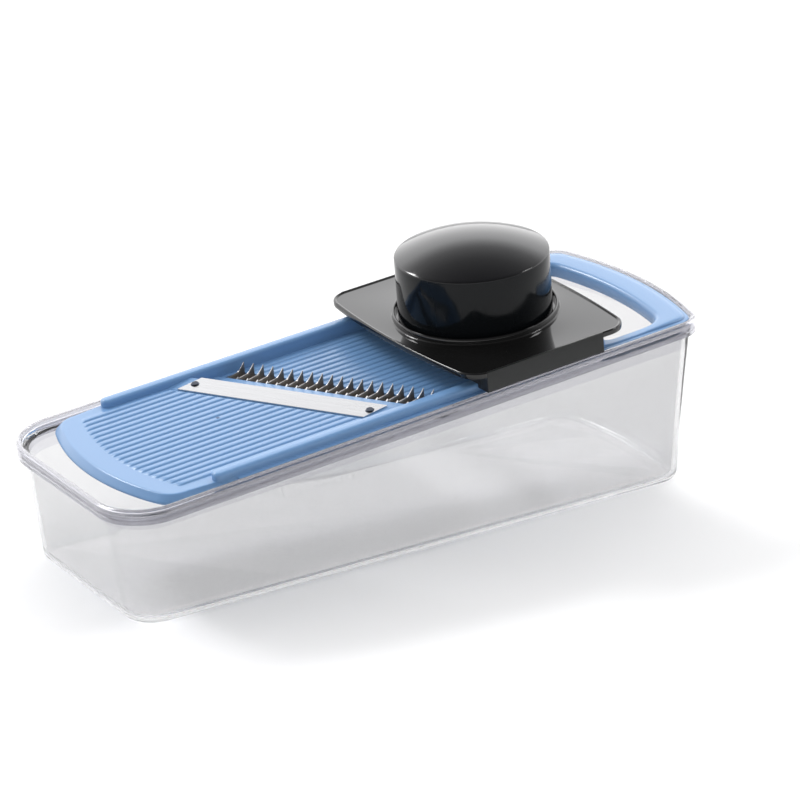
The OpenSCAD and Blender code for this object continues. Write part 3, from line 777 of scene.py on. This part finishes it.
# %% Comb
def build_comb():
    """Crest height = foot + 1.9 s + 3.7 (share of the rear part)^1.35, with s from 0 in front to 1
    at the back of the tooth."""
    number = np.arange(RIDGES)
    v = (number - (RIDGES - 1) / 2) * SPACING
    start = skew_u(COMB_X, v)
    s = np.linspace(0, 1, 18)
    crest = -2.6 + 1.9 * s + 3.7 * np.clip((s - 0.58) / 0.42, 0, 1) ** 1.35
    shoulder = crest - 0.45
    foot = np.full_like(s, -5.4)
    half, edge = 0.38, 0.2
    columns = [(-half, foot), (-half, shoulder), (-edge, crest), (edge, crest), (half, shoulder), (half, foot)]
    fins = np.zeros((RIDGES, len(s), 6, 3))
    for k, (dv, w) in enumerate(columns):
        fins[:, :, k, 0] = start[:, None] + TOOTH_L * s
        fins[:, :, k, 1] = v[:, None] + dv
        fins[:, :, k, 2] = w
    one = capped_faces(len(s), 6)
    faces = [tuple(i + n * len(s) * 6 for i in face) for n in range(RIDGES) for face in one]
    # the crest takes the brighter steel almost to the point: partly the honed edge, partly a painted highlight where
    # it catches light; the point of the thorn keeps the darker fin steel as painted shade
    row, col = np.divmod(np.arange((len(s) - 1) * 6), 6)
    crest_highlight_face = np.tile(np.concatenate([(col == 2) & (row < 16), [False, False]]), RIDGES)
    fin_piece = make_piece("comb_fins", deck(fins), faces, FIN_STEEL, "slicer", ("julienne_comb",), smooth_angle=30,
                           second=CREST_HIGHLIGHT_STEEL, on_second=crest_highlight_face)

    # bent tips: short wedges that lean forwards from the foot of each fin, in the brighter steel, a painted highlight
    tip = np.array([(-0.7, -0.1, -3.1), (-0.7, 1.1, -3.1), (0.5, -0.3, -3.6), (0.5, 1.3, -3.6),
                    (0.4, 0.1, -1.9), (0.4, 0.9, -1.9)])
    tips = tip[None] + np.stack([start, v, np.zeros(RIDGES)], -1)[:, None]
    wedge = [(0, 1, 3, 2), (0, 4, 5, 1), (2, 3, 5, 4), (0, 2, 4), (1, 5, 3)]
    faces = [tuple(i + n * 6 for i in face) for n in range(RIDGES) for face in wedge]
    make_piece("comb_tips", deck(tips), faces, CREST_HIGHLIGHT_STEEL, "slicer", ("julienne_comb",), smooth_angle=20)
    return fin_piece


build_comb()
STRIP_HALF = LANE + 4.4
slab("comb_strip", band_outline(COMB_X - 2.4, COMB_X + TOOTH_L + 2.4, -STRIP_HALF, STRIP_HALF), -6.2, -5.0, 0.15,
     COMB_STEEL, replaced=("julienne_comb",), foot_r=0.1)

# %% [markdown]
# ## Guard
# The guard is one glossy moulding: a plate with a raised edge, a low ring round the knob and a
# chimney inside the knob. All of that is a single closed section that starts on the plate's plan
# and turns into circles, so columns are matched by their angle round the knob.

# %% Guard plate
guard_lo, guard_hi = deck_box("guard_plate")
cap_lo, cap_hi = deck_box("pusher_cap")
GUARD_U = (cap_lo[0] + cap_hi[0]) / 2
GUARD_L, GUARD_HALF = guard_hi[0] - guard_lo[0], (guard_hi[1] - guard_lo[1]) / 2
CAP_R = (cap_hi[1] - cap_lo[1]) / 2
PLATE_W1 = 13.1  # height of the plate's raised edge
print("guard", round(GUARD_L, 1), "x", round(2 * GUARD_HALF, 1), "cap", round(CAP_R, 2), "at u", round(GUARD_U, 1))


def guard_outline():
    """Two bowed ends back to back; bow radius = (half^2 + bow^2) / (2 bow)."""
    bow, corner = 5.0, 12
    end = bow_end(GUARD_L / 2, GUARD_HALF, corner, (GUARD_HALF**2 + bow**2) / (2 * bow))
    return resample(np.vstack([end, -end]), 1.6)


def build_guard():
    """Rows on the plate's plan, then circles round the knob, closed into a ring."""
    outline = guard_outline()
    inward = normals_of(outline)
    around = outline / np.linalg.norm(outline, axis=1)[:, None]
    top = PLATE_W1 - 0.6
    bottom, chimney_top = top - 2.4, top + 25.6

    def edge(inset, w):
        """The plate's outline drawn in by inset."""
        return np.column_stack([outline + inset * inward, np.full(len(outline), w)])

    def ring(r, w):
        """A circle of radius r round the knob."""
        return np.column_stack([around * r, np.full(len(outline), w)])

    rows = [edge(2.2, bottom), edge(0.5, bottom), edge(0.12, bottom + 0.15), edge(0, bottom + 0.5),
            edge(0, PLATE_W1 - 0.6), edge(0.12, PLATE_W1 - 0.25), edge(0.45, PLATE_W1), edge(1.0, PLATE_W1),
            edge(1.35, PLATE_W1 - 0.15), edge(1.6, top + 0.1), edge(1.85, top), edge(2.3, top)]
    r = CAP_R + 3.2
    rows += [ring(r + 0.9, top), ring(r + 0.35, top + 0.1), ring(r + 0.05, top + 0.4), ring(r, top + 0.8),
             ring(r, top + 2.9), ring(r - 0.2, top + 3.25), ring(r - 0.6, top + 3.4), ring(r - 1.05, top + 3.3),
             ring(r - 1.35, top + 3.0), ring(r - 1.5, top + 2.5), ring(r - 1.5, top)]
    c = CAP_R - 3.0
    rows += [ring(c, top), ring(c, chimney_top - 0.6), ring(c - 0.4, chimney_top), ring(c - 1.8, chimney_top),
             ring(c - 2.2, chimney_top - 0.4), ring(c - 2.2, bottom + 0.4), ring(c - 1.8, bottom), ring(c + 4, bottom)]
    rows = np.array(rows) + (GUARD_U, 0, 0)
    return make_piece("guard_moulding", deck(rows), ring_faces(*rows.shape[:2]), BLACK, "guard", ("guard_plate",),
                      smooth_angle=38)


build_guard()

# %% [markdown]
# ## Guard: runners and skirts
# Under each long side runs a channel: a runner that rests on the rail, and an outer skirt that
# hangs down beside it, flush with the plate. The skirts have a duller moulded face than the plate.
# The section is drawn once in (v, w) and carried along the guard, with a plate at each end.

# %% Skirts
SKIRT_L, SKIRT_LOW, SKIRT_U = 71.0, 2.0, GUARD_U - 3.7


def build_skirt(name, s):
    """The section in (v, w) is mirrored by the sign s and carried along the guard."""
    inner, out = RAIL_OUT + 0.5, GUARD_HALF + 0.03
    section = np.array([(LANE, 3.95), (inner, 3.95), (inner, SKIRT_LOW), (inner + 2.2, SKIRT_LOW), (inner + 2.2, 10.1),
                        (out - 2.2, 10.1), (out - 2.2, SKIRT_LOW), (out - 0.5, SKIRT_LOW), (out, SKIRT_LOW + 0.5),
                        (out, PLATE_W1 - 0.6), (out - 0.1, PLATE_W1 - 0.22), (out - 0.45, PLATE_W1 + 0.03),
                        (out - 1.05, PLATE_W1 + 0.03), (out - 1.5, PLATE_W1 - 0.2), (out - 1.8, 12.45), (LANE, 12.0)])
    u = np.array([-SKIRT_L / 2, -SKIRT_L / 2 + 0.3, SKIRT_L / 2 - 0.3, SKIRT_L / 2])
    shrink = np.array([0.3, 0, 0, 0.3])[:, None]
    v = np.where(section[:, 0] > out - 0.6, section[:, 0] - shrink, section[:, 0] + 0 * shrink)
    points = np.stack([np.broadcast_to(u[:, None] + SKIRT_U, v.shape), s * v,
                       np.broadcast_to(section[:, 1], v.shape)], -1)
    make_piece(name, deck(points), capped_faces(4, len(section)), CHARCOAL, "guard", ("guard_plate",), smooth_angle=35)
    y0, y1 = sorted((s * (inner + 1), s * (out - 1)))
    for end_name, x in (("front", -SKIRT_L / 2 + 0.1), ("rear", SKIRT_L / 2 - 2.3)):
        slab(name + "_" + end_name, box_outline(SKIRT_U + x, SKIRT_U + x + 2.2, y0, y1, 0.2, 3), SKIRT_LOW + 0.02,
             10.4, 0.2, CHARCOAL, "guard", ("guard_plate",), foot_r=0.1)


build_skirt("skirt_left", 1)
build_skirt("skirt_right", -1)

# %% [markdown]
# ## Pusher cap
# The cap is turned from one profile: a low dome, a crisp edge softened by a fraction of a
# millimetre, a straight wall, and the hollow inside. The crisp edge is what gives the thin bright
# line in front. Three screw posts stand inside and carry the disc.

# %% Cap
TURNS = 160  # points round the knob


def revolved(name, profile, count=TURNS, centre=(0.0, 0.0), **extra):
    """Profile of (radius, height) pairs turned round the guard's own centre: each row is a circle
    r (cos t, sin t). A radius of zero closes into a pole."""
    t = np.linspace(0, 2 * math.pi, count, endpoint=False)
    r, w = np.asarray(profile, float).T
    rows = np.stack([GUARD_U + centre[0] + r[:, None] * np.cos(t), centre[1] + r[:, None] * np.sin(t),
                     np.broadcast_to(w[:, None], (len(r), count))], -1)
    faces = grid_faces(len(r), count, True)
    return make_piece(name, deck(rows), faces, CAP_BLACK, "pusher", ("pusher_cap",), smooth_angle=30, **extra)


CROWN = cap_hi[2]
DOME_H = 9.0
DOME_R = (CAP_R**2 + DOME_H**2) / (2 * DOME_H)
CAP_LOW, CAP_WALL = 12.8, 2.6


def dome(r, lowered=0.0):
    """Height of the dome at radius r, or of a dome lowered by a wall's thickness inside it."""
    return CROWN - DOME_R + np.sqrt((DOME_R - lowered) ** 2 - r**2)


def build_cap():
    """Dome radius = (r^2 + h^2) / (2 h) for a rise h over the cap's radius r."""
    soft = 0.45
    out_r = np.linspace(0, CAP_R - soft, 40)
    outside = list(zip(out_r, dome(out_r)))
    rim_w = dome(CAP_R - soft)
    wall = [(CAP_R - soft * 0.55, rim_w - 0.14), (CAP_R - soft * 0.2, rim_w - 0.36), (CAP_R, rim_w - 0.75),
            (CAP_R, rim_w - 12), (CAP_R, CAP_LOW + 6), (CAP_R, CAP_LOW + 0.5), (CAP_R - 0.15, CAP_LOW + 0.15),
            (CAP_R - 0.5, CAP_LOW), (CAP_R - CAP_WALL + 0.2, CAP_LOW), (CAP_R - CAP_WALL, CAP_LOW + 0.2)]
    in_r = np.linspace(CAP_R - CAP_WALL, 0, 20)
    inside = list(zip(in_r, dome(in_r, CAP_WALL)))
    row = np.repeat(np.arange(len(outside + wall + inside) - 1), TURNS)
    on_wall = (row >= len(outside) + 2) & (row < len(outside) + len(wall) - 3)
    cap = revolved("cap_shell", outside + wall + inside, second=CAP_SIDE, on_second=on_wall)
    disc_top, post_top = deck_box("spike_disc")[1][2], CROWN - 3.6
    for k in range(3):
        a = math.radians(90 + 120 * k)
        revolved("cap_post_%d" % (k + 1), [(0, disc_top), (3.8, disc_top), (4.0, disc_top + 0.2), (4.0, post_top),
                                           (0, post_top)], count=24, centre=(13 * math.cos(a), 13 * math.sin(a)))
    return cap


build_cap()

# %% [markdown]
# ## Small marks
# Where the plastic entered the mould, a tiny round gate mark is left on the front plate. It is a
# low puck with a softened edge.

# %% Gate mark
puck = [(0.9 * math.cos(a), 0.9 * math.sin(a)) for a in np.linspace(0, 2 * math.pi, 24, endpoint=False)]
slab("gate_mark", np.array(puck) + (91.5, 2.9), 0.3, RIDGE_H + 0.12, 0.1, GATE_MARK)

# %% [markdown]
# ## Stage and camera
# The object stands on a plain pale floor. The camera is far away with a long lens, so the long
# sides of the rim stay almost parallel, and it looks down a little over the front left corner.

# %% Stage and camera
floor_mesh = bpy.data.meshes.new("studio_floor")
reach = 8.0
floor_mesh.from_pydata([(-reach, -reach, 0), (reach, -reach, 0), (reach, reach, 0), (-reach, reach, 0)], [],
                       [(0, 1, 2, 3)])
floor = bpy.data.objects.new("studio_floor", floor_mesh)
bpy.context.scene.collection.objects.link(floor)
paper = new_material("white_paper", {"Base Color": (0.95, 0.95, 0.95, 1), "Roughness": 1.0,
                                     "Specular IOR Level": 0.0})[0]
floor_mesh.materials.append(paper)

camera_data = bpy.data.cameras.new("camera")
camera = bpy.data.objects.new("camera", camera_data)
bpy.context.scene.collection.objects.link(camera)
azimuth, elevation, distance = math.radians(-33.4), math.radians(22.5), 1.854
back = Vector((math.sin(azimuth) * math.cos(elevation), -math.cos(azimuth) * math.cos(elevation), math.sin(elevation)))
aim = Vector((0.0163, -0.0088, 0.0634))
camera.location = aim + back * distance
camera.rotation_mode = "QUATERNION"
camera.rotation_quaternion = (-back).to_track_quat("-Z", "Y")
camera_data.lens = 165.2
camera_data.clip_end = 30
bpy.context.scene.camera = camera
print("camera", round(distance, 2), "m away,", camera_data.lens, "mm lens")

# %% [markdown]
# ## Studio light
# Glossy black shows nothing but its surroundings, so the sky is the real light here: it is bright
# and low behind the object, which the flat guard plate mirrors as pale grey, and it darkens
# towards the zenith, which gives the dome its fall from grey to black. One soft lamp overhead and
# one in front fill the shadows, hidden from reflections so that they leave no square in the gloss.
# Two small lamps behind draw the bright lines along the edges.

# %% Sky and lamps
world = bpy.data.worlds.new("studio")
bpy.context.scene.world = world
world.use_nodes = True
sky = world.node_tree
direction = add_node(sky, "ShaderNodeTexCoord").outputs["Generated"]
split = add_node(sky, "ShaderNodeSeparateXYZ")
sky.links.new(direction, split.inputs["Vector"])
height = add_node(sky, "ShaderNodeValToRGB")
stops = height.color_ramp.elements
stops[0].color, stops[1].color = (1, 1, 1, 1), (0.08, 0.08, 0.085, 1)
for position, level in ((0.50, 1.0), (0.66, 0.42), (0.82, 0.20)):
    stops.new(position).color = (level, level, level * 1.01, 1)
rear = add_node(sky, "ShaderNodeVectorMath", operation="DOT_PRODUCT")
rear.inputs[1].default_value = (-back.x, -back.y, 0)
sky.links.new(direction, rear.inputs[0])
side_fall = add_node(sky, "ShaderNodeMapRange", {"From Min": -0.5, "From Max": 0.65, "To Min": 0.24, "To Max": 2.3},
                     interpolation_type="SMOOTHSTEP")
glow = sky.nodes["Background"]
wire(sky, (split, "Z", height, "Fac"), (rear, "Value", side_fall, "Value"), (height, "Color", glow, "Color"),
     (side_fall, "Result", glow, "Strength"))


def soft_lamp(name, place, target, size, watts, glossy):
    """A rectangular lamp at a place, turned to a target; glossy says if reflections show it."""
    data = bpy.data.lights.new(name, "AREA")
    data.shape = "RECTANGLE"
    data.size, data.size_y = size
    data.energy = watts
    lamp = bpy.data.objects.new(name, data)
    bpy.context.scene.collection.objects.link(lamp)
    lamp.location = place
    lamp.rotation_mode = "QUATERNION"
    lamp.rotation_quaternion = (Vector(target) - Vector(place)).to_track_quat("-Z", "Y")
    lamp.visible_glossy = glossy
    return lamp


def around_view(towards, right, up, reach):
    """A place given by shares towards the camera, to its right and upwards, at a distance."""
    level = Vector((back.x, back.y, 0)).normalized()
    aside = Vector((-level.y, level.x, 0))
    return (level * towards + aside * right + Vector((0, 0, up))).normalized() * reach


soft_lamp("overhead_fill", (-0.25, 0.05, 1.9), (-0.02, 0, 0), (3.2, 3.0), 21, False)
soft_lamp("front_fill", around_view(1.0, -0.3, 0.45, 2.4), (0, 0, 0.05), (1.4, 1.0), 9, False)
soft_lamp("edge_light_left", around_view(-0.40, -0.58, 0.68, 2.2), (0, 0, 0.05), (0.8, 0.30), 16, True)
soft_lamp("edge_light_right", around_view(-0.19, 0.62, 0.76, 2.2), (0, 0, 0.05), (0.5, 0.30), 8, True)
bpy.context.scene.view_settings.view_transform = "Standard"
